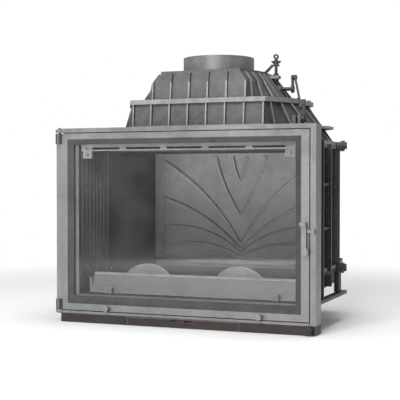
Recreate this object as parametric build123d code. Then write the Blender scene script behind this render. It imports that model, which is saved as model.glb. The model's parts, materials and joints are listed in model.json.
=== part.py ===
from build123d import *
import math
import os

# Directions as the user sees them from the front: x to the right, y away from the user, z up.
# Depths are drawn from the front face of the facade, heights from the lower edge of the plinth.

# Clearances
fit_gap = 0.3
running_clearance = 0.06
hole_clearance = 0.25

# Facade: the cast frame round the door
facade_width = 688.0
facade_top = 505.0
facade_bottom = 24.0
facade_plate = 8.0
return_depth = 48.0
return_wall = 6.0
rim_top = 11.0
rim_side = 14.0
rim_bottom = 6.0
land_left = 44.0
land_right = 52.0
land_top = 39.0
land_bottom = 48.0

# Plinth under the facade
plinth_wall = 6.0
cover_width = 300.0
cover_lip = 4.0
cover_lip_height = 3.4
cover_lip_overlap = 5.0

# Air slider in the plinth's cover
slot_length = 62.0
slot_height = 5.0
slider_travel = 20.0
slider_tab = 18.0
slider_plate = 2.7
slider_reach = 5.0

# Door
door_gap = 2.5
door_overhang = 12.0
door_thickness = 14.0
seal_gap = 2.3
stile_left = 47.0
stile_right = 35.0
rail_top = 29.0
rail_bottom = 37.0
bevel_side = 15.0
bevel_top = 14.0
bevel_bottom = 20.0
bevel_depth = 6.0
window_lip = 2.5
glass_thickness = 5.0
glass_overlap = 7.5
seal_size = 9.4
seal_corner = 16.0
seal_inset_left = 28.0
seal_inset = 16.0

# Hinges and their pins
knuckle_radius = 10.5
hinge_pin_radius = 4.0
hinge_pin_inset = 7.0
hinge_pin_collar = 0.7
hinge_depth = 4.0
knuckle_height = 27.0
lug_height = 8.0
pin_head = 5.0

# Handle and its keeper
handle_height = 200.0
handle_inset = 7.5
handle_length = 70.0
handle_boss = 8.5
handle_boss_depth = 14.0
handle_bar = 5.5
handle_bar_depth = 6.0
handle_pivot_radius = 4.0
handle_pivot_depth = 5.0
handle_pivot_head = 6.5
grip_width = 14.0
grip_height = 8.0
handle_reach = 20.0
nose_height = 8.0
nose_level = 49.0
nose_reach = 7.5
nose_depth = 5.0
keeper_wall = 4.0
keeper_plate = 0.7
keeper_reach = 11.0

# Pegs in the door's bottom rail
peg_spacing = 412.0
peg_radius = 6.5
peg_length = 18.0
peg_height = 39.5

# Air valve knob at the right of the plinth
knob_x = 327.0
knob_height = 13.0
knob_hub = 7.0
knob_lobe = 4.6
knob_lobe_ring = 7.2
knob_depth = 12.0
knob_spindle = 3.5
valve_radius = 9.0

# Firebox body
body_front_width = 636.0
body_rear_width = 622.0
body_side_depth = 300.0
body_back_width = 560.0
body_depth = 466.0
casting_wall = 6.0
flange_width = 14.0
flange_height = 9.0
front_flange = 7.7
facade_screw_levels = (170.0, 270.0, 370.0, 440.0)
body_bottom = 141.0
body_top = 461.0
column_radius = 16.5
column_y = 282.0
ear_bolt_offset = 12.0
ear_edge = 10.5
ear_length = 36.0
joint_flange = 6.0
joint_screw_length = 16.0
fin_inset = 1.0
fin_thickness = 5.0
fin_y = 166.0

# Base casting: a trough behind the door and the hearth floor behind it
base_width = 628.0
base_taper = 30.0
base_wall = 5.0
base_depth = 452.0
trough_floor = 74.0
trough_depth = 110.0
hearth_floor = 96.0
floor_plate = 8.0
fin_bottom = 102.0
base_fin_root = 300.0

# Rails, posts and legs at the sides
rail_height = 9.0
rail_width = 18.0
rail_bottom_level = 68.0
rail_offset = 22.0
rail_end = 330.0
post_y = 84.0
post_thickness = 8.0
post_width = 18.0
post_top = 470.0
leg_width = 14.0
leg_depth = 22.0
leg_inset = 7.0
stay_radius = 4.0
stay_levels = (250.0, 360.0)

# Liners of the firebox
liner_front_half = 302.0
liner_back_half = 270.0
liner_start = 30.0
liner_end = 437.0
liner_wall = 6.0
liner_top = 448.0
ribbed_length = 141.0
liner_screw_setback = 9.0
liner_screw_level = 128.0
liner_ribs = 8
liner_rib_width = 9.0
liner_rib_height = 3.5

# Fireback and its palmette of raised ribs, drawn as (height on the centre, at mid, at the border, width there)
fireback_half = 274.0
fireback_wall = 8.0
palmette_band = 9.0
palmette_apex_band = 5.0
palmette_relief = 5.0
palmette_half = 240.0
palmette_middle = 167.0
palmette_arcs = ((190.0, 378.0, 424.0, 14.0), (173.0, 290.0, 315.0, 14.0), (162.0, 234.0, 231.0, 9.0),
                 (150.0, 186.0, 167.0, 9.0))
palmette_top = 440.0
palmette_vees = ((272.0, 76.0, 13.0), (368.0, 22.0, 8.0))
lower_back_depth = 13.0
lower_back_top = 141.0

# Baffle over the fire
baffle_plate = 6.0
baffle_front = 180.0
baffle_front_half = 294.0

# Grate, ash box and ash pan
grate_half = 140.0
grate_front = 150.0
grate_back = 400.0
grate_bars = 13
grate_slot = 9.0
ash_box_drop = 45.0
ash_sheet = 2.0
ash_lip = 8.0

# Log guard
guard_half = 286.0
guard_y = 58.0
guard_lean = 22.0
guard_height = 51.0
guard_wall = 6.0
rest_spacing = 254.0
rest_half = 61.0
rest_rise = 26.0
rest_offset = 6.0
rest_plate = 7.0
guard_foot_spacing = 456.0

# Air wash bar inside the top of the window
bar_left = 296.0
bar_right = 288.0
bar_bottom = 446.0
bar_top = 478.0
bar_plate = 4.0
bar_slots = 5
bar_slot_length = 98.0
bar_slot_pitch = 114.5
bar_slot_height = 5.5
bar_slot_level = 452.5

# Hood: outlines as (front half, front y, side half, side front y, side back y, back half, back y)
hood_plate = 9.0
hood_wall = 6.0
hood_flange = 6.0
hood_flange_width = 11.0
flange_notch = 18.0
hood_foot = (186.0, 98.0, 300.0, 270.0, 326.0, 215.0, 438.0)
hood_waist = (180.0, 105.0, 230.0, 205.0, 345.0, 170.0, 418.0)
hood_step = (128.5, 112.0, 190.0, 184.0, 345.0, 128.5, 410.0)
hood_shoulder = (128.5, 116.0, 157.0, 194.0, 333.0, 118.0, 404.0)
hood_head = (110.0, 120.0, 138.0, 200.0, 325.0, 100.0, 400.0)
waist_level = 569.0
shoulder_level = 625.0
head_level = 650.0
head_plate = 6.0
ledge_level = 505.5
ledge_height = 7.0
ledge_width = 3.0
hood_rib = 4.0
hood_rib_reach = 7.0
lower_ribs = 8
upper_ribs = 6
rib_pitch = 51.5
side_ribs = 3

# Flue collar
flue_y = 260.0
flue_bore = 90.0
collar_wall = 6.0
collar_height = 44.0
collar_ring = 112.0
collar_drop = 56.0
collar_ring_height = 5.0
collar_screws = 4

# Damper in the hood and its control
damper_level = 612.0
damper_radius = 86.0
damper_sheet = 4.0
damper_shaft_radius = 5.0
damper_bar = 11.0
damper_bar_half = 84.0
damper_boss = 10.0
damper_boss_end = 180.0
crank_radius = 30.0
crank_x = 206.0
crank_plate = 6.0
crank_hub = 11.0
link_pin = 3.5
link_eye = 7.0
link_eye_width = 7.0
link_rod_radius = 3.0
link_slack = 0.4
lever_x = 283.0
lever_y = 95.0
lever_level = 522.0
lever_plate = 7.0
lever_hub = 12.0
lever_tail = 18.0
lever_pin = 4.0
cheek_gap = 5.0
cheek_wall = 8.0
cheek_depth = 30.0
cheek_head = 8.0

# Spindle with eye and wing nut beside the collar
spindle_x = 163.0
spindle_radius = 4.0
lug_level = 640.0
lug_plate = 8.0
lug_width = 20.0
stay_level = 674.0
stay_plate = 4.0
wing_hub = 7.0
wing_height = 10.0
wing_span = 14.0
eye_radius = 7.0
eye_hole = 3.2
eye_level = 699.0

# Fasteners
bolt_radius = 3.0
bolt_head = 5.5
bolt_head_height = 4.0
screw_radius = 2.5
screw_head = 4.5
screw_head_height = 3.0

# Places worked out from the sizes above
half = facade_width / 2
recess = door_thickness + seal_gap
facade_back = recess + facade_plate
door_left = -half - door_overhang
door_right = half - rim_side - door_gap
door_top = facade_top - rim_top - door_gap
door_bottom = facade_bottom + rim_bottom + door_gap
window_left = door_left + stile_left
window_right = door_right - stile_right
window_top = door_top - rail_top
window_bottom = door_bottom + rail_bottom
opening_left = -half + land_left
opening_right = half - land_right
opening_top = facade_top - land_top
opening_bottom = facade_bottom + land_bottom
hinge_x = door_left + hinge_pin_inset
handle_x = door_right - handle_inset
hood_bottom = body_top + hood_plate
step_level = waist_level + 2 * hood_flange
collar_base = head_level + head_plate
collar_top = collar_base + collar_height
rear_reach = body_depth + flange_width
liner_angle = math.degrees(math.atan2(liner_front_half - liner_back_half, liner_end - liner_start))
wall_front = body_front_width / 2
wall_rear = body_rear_width / 2
wall_back = body_back_width / 2
ear_bolt_x = wall_rear + column_radius + ear_bolt_offset
ear_reach = ear_bolt_x + ear_edge
rail_outer = wall_front + rail_offset
fin_reach = rail_outer - fin_inset
leg_outer = rail_outer - leg_inset
post_stay_x = rail_outer - post_width / 2

# The origin lies on the floor, midway across and midway from front to back
left_reach = -hinge_x + knuckle_radius
middle_x = (ear_reach - left_reach) / 2
middle_y = (rear_reach - handle_reach) / 2
origin = Pos(-middle_x, -middle_y, 0)


def write(name, shape):
    export_step(origin * shape, f"parts/{name}.step")


def block(x0, x1, y0, y1, z0, z1):
    return Pos((x0 + x1) / 2, (y0 + y1) / 2, (z0 + z1) / 2) * Box(x1 - x0, y1 - y0, z1 - z0)


def plan(points, z0, z1):
    """Outline seen from above, between two heights."""
    face = make_face(Polyline(*[(x, y, z0) for x, y in points], close=True))
    return extrude(face, amount=z1 - z0, dir=(0, 0, 1))


def front(points, y0, y1):
    """Outline seen from the front, between two depths."""
    face = make_face(Polyline(*[(x, y0, z) for x, z in points], close=True))
    return extrude(face, amount=y1 - y0, dir=(0, 1, 0))


def side(points, x0, x1):
    """Outline seen from the side as (y, z), between two places across."""
    face = make_face(Polyline(*[(x0, y, z) for y, z in points], close=True))
    return extrude(face, amount=x1 - x0, dir=(1, 0, 0))


def rod(start, end, radius):
    start, end = Vector(*start), Vector(*end)
    return Solid.make_cylinder(radius, (end - start).length, Plane(origin=start, z_dir=end - start))


def hexagon(start, direction, radius, height):
    return extrude(Plane(origin=start, z_dir=direction) * RegularPolygon(radius, 6), amount=height)


def along(point, direction, distance):
    return tuple(p + d * distance for p, d in zip(point, direction))


def bolt(seat, direction, grip):
    """Bolt with its head on seat and its nut at the far side of the grip."""
    head = hexagon(seat, tuple(-d for d in direction), bolt_head, bolt_head_height)
    nut = hexagon(along(seat, direction, grip), direction, bolt_head, bolt_head_height)
    shank = rod(along(seat, direction, -1), along(seat, direction, grip + bolt_head_height + 2), bolt_radius)
    return head + nut + shank


def bolt_hole(seat, direction, grip):
    return rod(along(seat, direction, -1), along(seat, direction, grip + 1), bolt_radius + hole_clearance)


def screw(seat, direction, length):
    """Round-headed screw, its head on seat and its end in the material."""
    head = rod(seat, along(seat, direction, -screw_head_height), screw_head)
    return head + rod(along(seat, direction, -1), along(seat, direction, length), screw_radius)


def screw_hole(seat, direction, length):
    return rod(along(seat, direction, -1), along(seat, direction, length + 1), screw_radius + running_clearance)


def mirrored(shape):
    return mirror(shape, about=Plane.YZ)


def both(shape):
    return shape + mirrored(shape)


def group(shapes):
    return Compound(children=[piece for shape in shapes for piece in shape.solids()])


# Facade, hinge lugs and plinth

def facade_screw_places():
    x = wall_front + 9
    places = []
    for z in facade_screw_levels:
        places += [(side_x, facade_back + front_flange, z) for side_x in (-x, x)]
    return places


facade_flange = facade_screw_places()[0][1]
bar_screw_xs = (-bar_left + 24, bar_right - 24)
bar_screw_z = opening_top + 6


def hinge_lug(z0, z1):
    barrel = rod((hinge_x, hinge_depth, z0), (hinge_x, hinge_depth, z1), knuckle_radius)
    tab = block(hinge_x, -half + 2, hinge_depth - 8, hinge_depth + 8, z0, z1)
    hole = rod((hinge_x, hinge_depth, z0 - 1), (hinge_x, hinge_depth, z1 + 1), hinge_pin_radius + running_clearance)
    return barrel + tab, hole


def facade_frame():
    shape = block(-half, half, 0, facade_back, facade_bottom, facade_top)
    shape -= block(-half - 1, half - rim_side, -1, recess, facade_bottom + rim_bottom, facade_top - rim_top)
    shape -= block(opening_left, opening_right, recess - 1, facade_back + 1, opening_bottom, opening_top)
    skirt = block(-half, half, facade_back, return_depth, facade_bottom, facade_top)
    inner = half - return_wall
    skirt -= block(-inner, inner, facade_back - 1, return_depth + 1, facade_bottom + return_wall,
                   facade_top - return_wall)
    shape += skirt
    for z0, z1 in ((door_top + door_gap, door_top + door_gap + lug_height), (facade_bottom, door_bottom - fit_gap)):
        lug, hole = hinge_lug(z0, z1)
        shape = shape + lug - hole
    for place in facade_screw_places():
        shape -= screw_hole(place, (0, -1, 0), facade_flange - facade_back + 5)
    for x in bar_screw_xs:
        shape -= screw_hole((x, facade_back + bar_plate, bar_screw_z), (0, -1, 0), bar_plate + 5)
    return shape


def hinge_pins():
    top = door_top + door_gap + lug_height
    upper = rod((hinge_x, hinge_depth, door_top - knuckle_height + 4), (hinge_x, hinge_depth, top + pin_head),
                hinge_pin_radius)
    upper += rod((hinge_x, hinge_depth, top), (hinge_x, hinge_depth, top + 2), hinge_pin_radius + hinge_pin_collar)
    lower = rod((hinge_x, hinge_depth, facade_bottom - 2), (hinge_x, hinge_depth, door_bottom + knuckle_height - 6),
                hinge_pin_radius)
    lower += rod((hinge_x, hinge_depth, facade_bottom - 2), (hinge_x, hinge_depth, facade_bottom),
                 hinge_pin_radius + hinge_pin_collar)
    return group([upper, lower])


def plinth_end():
    """Right-hand end of the plinth, with its return."""
    strip = block(cover_width / 2, half, 0, plinth_wall, 0, facade_bottom)
    strip += block(half - plinth_wall, half, plinth_wall, return_depth, 0, facade_bottom)
    return strip


def ash_cover():
    reach = cover_width / 2
    shape = block(-reach, reach, 0, plinth_wall, 0, facade_bottom)
    lip_bottom = facade_bottom - cover_lip_height
    lip = reach + cover_lip_overlap
    shape += block(-lip, lip, -cover_lip, 0, lip_bottom, facade_bottom)
    shape -= block(-slot_length / 2, slot_length / 2, -1, plinth_wall + 1, lip_bottom - slot_height, lip_bottom)
    guide = slot_length / 2 + slider_travel + 34
    back = plinth_wall + slider_plate + 2 * fit_gap
    shape += block(-guide, guide, plinth_wall, back + 3, 4, 8 - fit_gap)
    shape += block(-guide, guide, back, back + 3, 4, 12)
    return shape


def air_slider():
    lip_bottom = facade_bottom - cover_lip_height
    plate = slot_length / 2 + slider_travel + 10
    start = plinth_wall + fit_gap
    shape = block(-plate, plate, start, start + slider_plate, 8, facade_bottom - fit_gap)
    tab = slider_tab / 2
    shape += block(-tab, tab, -slider_reach, start, lip_bottom - slot_height + 1, lip_bottom - 1)
    shape += block(-tab, tab, -slider_reach - 1.5, -slider_reach, lip_bottom - slot_height - 2, lip_bottom - 1)
    return shape


def air_valve():
    """Knob, spindle and disc of the air valve, from the front to the back."""
    centre = (knob_x, 0, knob_height)
    knob = rod(along(centre, (0, 1, 0), -knob_depth - 1), along(centre, (0, 1, 0), -1), knob_hub)
    for turn in range(5):
        angle = math.radians(90 + 72 * turn)
        x = knob_x + knob_lobe_ring * math.cos(angle)
        z = knob_height + knob_lobe_ring * math.sin(angle)
        knob += rod((x, -knob_depth + 1, z), (x, -2, z), knob_lobe)
    bore = rod((knob_x, -knob_depth + 3, knob_height), (knob_x, 0, knob_height), knob_spindle + running_clearance)
    spindle = rod((knob_x, -knob_depth + 3.2, knob_height), (knob_x, plinth_wall + 8, knob_height), knob_spindle)
    spindle += rod((knob_x, plinth_wall + 2, knob_height), (knob_x, plinth_wall + 5, knob_height), valve_radius)
    return knob - bore, spindle


# Door

def rounded_ring(left, right, bottom, top, width, y0, y1, corner):
    """Band of the given width round a rectangle, seen from the front."""
    def sheet(grow):
        centre = ((left + right) / 2, (bottom + top) / 2)
        outline = RectangleRounded(right - left + 2 * grow, top - bottom + 2 * grow, corner + grow)
        return extrude(Plane((centre[0], y0, centre[1]), x_dir=(1, 0, 0), z_dir=(0, -1, 0)) * outline,
                       amount=y0 - y1)
    return sheet(width / 2) - sheet(-width / 2)


def door_seal_path():
    return (door_left + seal_inset_left, door_right - seal_inset, door_bottom + seal_inset + 3, door_top - seal_inset + 4)


def peg_places():
    return [(sign * peg_spacing / 2, 0, peg_height) for sign in (-1, 1)]


glass_front = bevel_depth + window_lip


def clip_places():
    """Each glass clip's middle and which way is outward, x or z."""
    middle_z = (window_bottom + window_top) / 2
    places = []
    for x in (-150, 150):
        places += [(x, window_top, 0, 1), (x, window_bottom, 0, -1)]
    places += [(window_left, middle_z, -1, 0), (window_right, middle_z, 1, 0)]
    return places


def door_frame():
    shape = block(door_left, door_right, 0, door_thickness, door_bottom, door_top)
    wide = make_face(Polyline((window_left - bevel_side, -0.001, window_bottom - bevel_bottom),
                              (window_right + bevel_side, -0.001, window_bottom - bevel_bottom),
                              (window_right + bevel_side, -0.001, window_top + bevel_top),
                              (window_left - bevel_side, -0.001, window_top + bevel_top), close=True))
    narrow = make_face(Polyline((window_left, bevel_depth, window_bottom), (window_right, bevel_depth, window_bottom),
                                (window_right, bevel_depth, window_top), (window_left, bevel_depth, window_top),
                                close=True))
    shape -= loft([wide, narrow], ruled=True)
    shape -= block(window_left, window_right, bevel_depth - 1, door_thickness + 1, window_bottom, window_top)
    shape -= block(window_left - glass_overlap - fit_gap, window_right + glass_overlap + fit_gap, glass_front,
                   door_thickness + 1, window_bottom - glass_overlap - fit_gap, window_top + glass_overlap + fit_gap)
    left, right, bottom, top = door_seal_path()
    groove = seal_size + 2 * fit_gap
    shape -= rounded_ring(left, right, bottom, top, groove, door_thickness - 8, door_thickness + 1, seal_corner)
    for z0, z1 in ((door_top - knuckle_height, door_top), (door_bottom, door_bottom + knuckle_height)):
        shape += rod((hinge_x, hinge_depth, z0), (hinge_x, hinge_depth, z1), knuckle_radius)
    for z0, z1 in ((door_top - knuckle_height + 3, door_top + 1), (door_bottom - 1, door_bottom + knuckle_height - 5)):
        shape -= rod((hinge_x, hinge_depth, z0), (hinge_x, hinge_depth, z1), hinge_pin_radius + running_clearance)
    shape -= rod((handle_x, -1, handle_height), (handle_x, handle_pivot_depth + fit_gap, handle_height),
                 handle_pivot_radius + running_clearance)
    for x, y, z in peg_places():
        shape -= rod((x, -1, z), (x, 8, z), screw_radius + running_clearance)
    for x, z, out_x, out_z in clip_places():
        shape -= clip_screw(x, z, out_x, out_z, running_clearance)
    return shape


def door_glass():
    return block(window_left - glass_overlap, window_right + glass_overlap, glass_front + fit_gap,
                 glass_front + glass_thickness, window_bottom - glass_overlap, window_top + glass_overlap)


def door_seal():
    left, right, bottom, top = door_seal_path()
    start = door_thickness - 8 + fit_gap
    return rounded_ring(left, right, bottom, top, seal_size, start, start + seal_size, seal_corner)


clip_sheet = 1.8
clip_width = 20.0
clip_reach = 11.5
clip_lap = 4.0
clip_screw_offset = 2.3


def glass_clip(x, z, out_x, out_z):
    """Flat clip on the back of the door, over the edge of the glass."""
    if out_z:
        inner, outer = z + out_z * (glass_overlap - clip_lap), z + out_z * clip_reach
        shape = block(x - clip_width / 2, x + clip_width / 2, door_thickness, door_thickness + clip_sheet,
                      min(inner, outer), max(inner, outer))
    else:
        inner, outer = x + out_x * (glass_overlap - clip_lap), x + out_x * clip_reach
        shape = block(min(inner, outer), max(inner, outer), door_thickness, door_thickness + clip_sheet,
                      z - clip_width / 2, z + clip_width / 2)
    return shape - clip_screw(x, z, out_x, out_z, running_clearance)


def clip_screw(x, z, out_x, out_z, grow=0.0):
    """Countersunk screw in a glass clip, flush with its back."""
    reach = glass_overlap + clip_screw_offset
    cx, cz = x + out_x * reach, z + out_z * reach
    end = door_thickness + clip_sheet
    return rod((cx, glass_front + 1 - grow, cz), (cx, end + grow, cz), 1.5 + grow)


# Handle, keeper and pegs

def handle_lever():
    z = handle_height
    x = handle_x
    bar = handle_bar / 2
    bar_front = -handle_boss_depth + 2
    shape = rod((x, -handle_boss_depth, z), (x, -fit_gap, z), handle_boss)
    shape += block(x - bar, x + bar, bar_front, bar_front + handle_bar_depth, z, z + handle_length)
    top = z + handle_length
    shape += block(x + bar - grip_width, x + bar, -handle_reach, bar_front + handle_bar_depth, top - grip_height, top)
    nose_top = z + nose_level + nose_height / 2
    nose_end = half - rim_side + nose_reach
    shape += block(x - bar, nose_end, -1 - nose_depth, -1, nose_top - nose_height, nose_top)
    shape += block(x - bar, x + bar, bar_front, -1, nose_top - nose_height, nose_top)
    return shape - rod((x, -handle_boss_depth - 1, z), (x, 1, z), handle_pivot_radius + running_clearance)


def handle_pivot():
    z = handle_height
    x = handle_x
    head = -handle_boss_depth - fit_gap
    shape = rod((x, head - 2.5, z), (x, head, z), handle_pivot_head)
    return shape + rod((x, head - 1, z), (x, handle_pivot_depth, z), handle_pivot_radius)


def latch_keeper():
    """Angle on the rim: a striking plate behind the handle's nose and an upright beside its end."""
    middle = handle_height + nose_level
    z0, z1 = middle - nose_height / 2 - 3, middle + nose_height / 2 + 3
    stop = half - rim_side + nose_reach + 1
    shape = block(half - rim_side + 1, stop + keeper_wall, -keeper_plate, 0, z0, z1)
    return shape + block(stop, stop + keeper_wall, -keeper_reach, 0, z0, z1)


def door_pegs():
    pegs = []
    for x, y, z in peg_places():
        peg = rod((x, -peg_length, z), (x, 0, z), peg_radius) + rod((x, -1, z), (x, 7, z), screw_radius)
        pegs.append(peg)
    return group(pegs)


# Firebox body

def wall_x(y):
    """Outer face of the side wall at a depth."""
    share = (y - facade_back) / (body_side_depth - facade_back)
    return wall_front + (wall_rear - wall_front) * share


def body_outline(grow):
    front_half = wall_front + grow
    rear_half = wall_rear + grow
    back_half = wall_back + grow * 0.8
    back = body_depth + grow
    return [(-front_half, facade_back), (front_half, facade_back), (rear_half, body_side_depth), (back_half, back),
            (-back_half, back), (-rear_half, body_side_depth)]


def ear(z0, z1):
    """Right-hand ear beside the column, with a rounded end."""
    reach = ear_reach
    y0 = column_y - ear_length / 2
    shape = block(wall_rear - casting_wall, reach - ear_length / 2, y0, y0 + ear_length, z0, z1)
    return shape + rod((reach - ear_length / 2, column_y, z0), (reach - ear_length / 2, column_y, z1), ear_length / 2)


def ear_bolt_seats():
    """Seat heights of the ear bolts: on the hood's plate and on the side casting's foot."""
    return (body_top + hood_plate, body_bottom + flange_height)


def ear_holes(shape):
    for z in ear_bolt_seats():
        for x in (-ear_bolt_x, ear_bolt_x):
            shape -= bolt_hole((x, column_y, z + 1), (0, 0, -1), 2 * flange_height + 4)
    return shape


def side_casting():
    """Right-hand side casting."""
    outer = [(wall_front, facade_back), (wall_x(body_side_depth), body_side_depth)]
    inner = [(x - casting_wall, y) for x, y in reversed(outer)]
    shape = plan(outer + inner, body_bottom, body_top)
    shape += block(wall_front - casting_wall, wall_front + 18, facade_back, facade_flange, body_bottom, body_top)
    for z0, z1 in ((body_bottom, body_bottom + flange_height), (body_top - flange_height, body_top)):
        band = [(wall_front - 1, facade_back), (wall_front + flange_width, facade_back),
                (wall_x(body_side_depth) + flange_width, body_side_depth), (wall_x(body_side_depth) - 1, body_side_depth)]
        shape += plan(band, z0, z1) + ear(z0, z1)
    shape += block(wall_rear - 1, wall_rear + flange_width, body_side_depth - 6, body_side_depth, body_bottom, body_top)
    shape += rod((wall_rear + 4, column_y, body_bottom), (wall_rear + 4, column_y, body_top), column_radius)
    shape -= block(wall_rear - 40, wall_rear - casting_wall + 0.8, column_y - 30, body_side_depth, body_bottom,
                   body_top)
    shape += block(wall_rear - 2, fin_reach, fin_y, fin_y + fin_thickness, body_bottom, body_top)
    for z in stay_levels:
        shape -= rod((post_stay_x, fin_y - 1, z), (post_stay_x, fin_y + fin_thickness + 1, z),
                     stay_radius + hole_clearance)
    for place in facade_screw_places():
        shape -= screw_hole(place, (0, -1, 0), 12)
    for place in joint_screw_seats():
        shape -= rod(place, along(place, (0, -1, 0), joint_screw_length + 1), bolt_radius + running_clearance)
    shape -= post_notch(body_bottom - 1, body_top + 1)
    return ear_holes(shape)


def joint_screw_seats():
    """Screws through the rear casting's upright flanges into the side castings."""
    x = wall_rear + flange_width / 2 + 1
    return [(sign * x, body_side_depth + joint_flange, z) for sign in (-1, 1) for z in (200, 300, 400)]


def rear_casting():
    outer = [(wall_rear, body_side_depth), (wall_back, body_depth), (-wall_back, body_depth),
             (-wall_rear, body_side_depth)]
    inner = [(-wall_rear + casting_wall, body_side_depth), (-wall_back + casting_wall, body_depth - casting_wall),
             (wall_back - casting_wall, body_depth - casting_wall), (wall_rear - casting_wall, body_side_depth)]
    shape = plan(outer + inner, body_bottom, body_top)
    rim = body_outline(flange_width)
    rim_band = [rim[2], rim[3], rim[4], rim[5]] + [(-wall_rear, body_side_depth), (-wall_back, body_depth),
                                                   (wall_back, body_depth), (wall_rear, body_side_depth)]
    for z0, z1 in ((body_bottom, body_bottom + flange_height), (body_top - flange_height, body_top)):
        shape += plan(rim_band, z0, z1)
    for sign in (-1, 1):
        x = sign * (wall_rear + flange_width / 2)
        reach = flange_width / 2 + 1
        shape += block(x - reach, x + reach, body_side_depth, body_side_depth + joint_flange, body_bottom, body_top)
    for x in (-180, -60, 60, 180):
        shape += block(x - 2.5, x + 2.5, body_depth - 1, body_depth + 9, body_bottom, body_top)
    for x in (-200, 200):
        for z in (180, 410):
            shape += rod((x, liner_end + fireback_wall, z), (x, body_depth - 1, z), 9)
    for place in joint_screw_seats():
        shape -= bolt_hole(place, (0, -1, 0), joint_flange)
    return shape


def body_bolts():
    bolts = []
    for z in ear_bolt_seats():
        for x in (-ear_bolt_x, ear_bolt_x):
            bolts.append(bolt((x, column_y, z), (0, 0, -1), hood_plate + flange_height))
    for place in joint_screw_seats():
        head = hexagon(place, (0, 1, 0), bolt_head, bolt_head_height)
        bolts.append(head + rod(along(place, (0, 1, 0), 1), along(place, (0, -1, 0), joint_screw_length), bolt_radius))
    return group(bolts)


def facade_screws():
    places = facade_screw_places() + [(x, facade_flange, base_screw_z) for x in base_screw_xs]
    return group([screw(place, (0, -1, 0), facade_flange - facade_back + 4.5) for place in places])


# Base casting, rails, posts and legs

base_front = base_width / 2
base_back = base_front - base_taper


def base_outline(shrink, y0, y1):
    """Four corners of the base at two depths."""
    def at(y):
        share = (y - facade_back) / (base_depth - facade_back)
        return base_front - base_taper * share - shrink
    return [(-at(y0), y0), (at(y0), y0), (at(y1), y1), (-at(y1), y1)]


def base_casting():
    flange_bottom = body_bottom - flange_height
    shape = plan(body_outline(flange_width), flange_bottom, body_bottom)
    shape += both(ear(flange_bottom, body_bottom))
    shape += plan(base_outline(0, facade_back, base_depth), hearth_floor - floor_plate, flange_bottom)
    shape += plan(base_outline(0, facade_back, trough_depth), trough_floor - floor_plate, hearth_floor)
    shape -= plan(base_outline(base_wall, facade_back - 1, base_depth - base_wall), hearth_floor, body_bottom + 1)
    shape -= plan(base_outline(base_wall, facade_back - 1, trough_depth - base_wall), trough_floor, hearth_floor + 1)
    shape -= block(-grate_half - fit_gap, grate_half + fit_gap, grate_front - fit_gap, grate_back + fit_gap,
                   hearth_floor - floor_plate - 1, hearth_floor + 1)
    for sign in (-1, 1):
        x0, x1 = sorted((sign * base_fin_root, sign * fin_reach))
        shape += block(x0, x1, fin_y, fin_y + fin_thickness, fin_bottom, flange_bottom)
    shape += block(-base_front, base_front, facade_back, facade_flange, opening_bottom - 24, trough_floor - floor_plate)
    for x in base_screw_xs:
        shape -= screw_hole((x, facade_flange, base_screw_z), (0, -1, 0), 12)
    shape -= post_notch(flange_bottom - 1, body_bottom + 1)
    return ear_holes(shape)


base_screw_xs = (-240.0, -80.0, 80.0, 240.0)
base_screw_z = 56.0


rail_top_level = rail_bottom_level + rail_height


def side_rail():
    return block(rail_outer - rail_width, rail_outer, return_depth, rail_end, rail_bottom_level, rail_top_level)


def side_post():
    shape = block(rail_outer - post_width, rail_outer, post_y, post_y + post_thickness, rail_top_level, post_top)
    for z in stay_levels:
        shape -= rod((post_stay_x, post_y + 2, z), (post_stay_x, post_y + post_thickness + 1, z),
                     stay_radius + running_clearance)
    return shape


def post_notch(z0, z1):
    """Room for the two posts through a flange."""
    notch = block(rail_outer - post_width - fit_gap, rail_outer + 20, post_y - fit_gap,
                  post_y + post_thickness + fit_gap, z0, z1)
    return both(notch)


def post_stays():
    stays = []
    for z in stay_levels:
        stay = rod((post_stay_x, post_y + 2.5, z), (post_stay_x, fin_y + fin_thickness, z), stay_radius)
        stay += hexagon((post_stay_x, fin_y + fin_thickness, z), (0, 1, 0), bolt_head + 1.5, bolt_head_height)
        stays.append(both(stay))
    return group(stays)


def rear_legs():
    leg = block(leg_outer - leg_width, leg_outer, column_y - leg_depth / 2, column_y + leg_depth / 2, rail_top_level,
                body_bottom - flange_height)
    return group([leg, mirrored(leg)])


# Liners, fireback, baffle

def liner(start, length, profile_floor, ribs):
    """Right-hand liner plate along the tapered wall, drawn straight and then turned."""
    floor = [(start, hearth_floor), (start + length, hearth_floor)]
    if profile_floor:
        step = (trough_depth - base_wall - liner_start) / math.cos(math.radians(liner_angle)) - 1
        floor = [(start, trough_floor), (step, trough_floor), (step, hearth_floor), (start + length, hearth_floor)]
    shape = side(floor + [(start + length, liner_top), (start, liner_top)], 0, liner_wall)
    pitch = length / liner_ribs
    for index in range(liner_ribs if ribs else 0):
        y = start + (index + 0.5) * pitch
        bottom = trough_floor if y < step - liner_rib_width else hearth_floor
        shape += block(-liner_rib_height, 0, y - liner_rib_width / 2, y + liner_rib_width / 2, bottom, liner_top)
    return Pos(liner_front_half, liner_start, 0) * Rot(0, 0, liner_angle) * shape


liner_room = liner_end - fit_gap - liner_start - liner_wall * math.sin(math.radians(liner_angle))
smooth_length = liner_room / math.cos(math.radians(liner_angle)) - ribbed_length


def ribbed_liner():
    return liner(0, ribbed_length, True, True)


def smooth_liner():
    shape = liner(ribbed_length, smooth_length, False, False)
    return shape - liner_screw(running_clearance)


def liner_screw(grow=0.0):
    """Screw head on the smooth liner, beside the ribs."""
    y = ribbed_length + liner_screw_setback
    z = liner_screw_level
    shape = rod((-1 - grow, y, z), (liner_wall - 1 + grow, y, z), screw_radius + grow)
    if not grow:
        shape += rod((-screw_head_height, y, z), (0, y, z), screw_head)
    return Pos(liner_front_half, liner_start, 0) * Rot(0, 0, liner_angle) * shape


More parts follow.
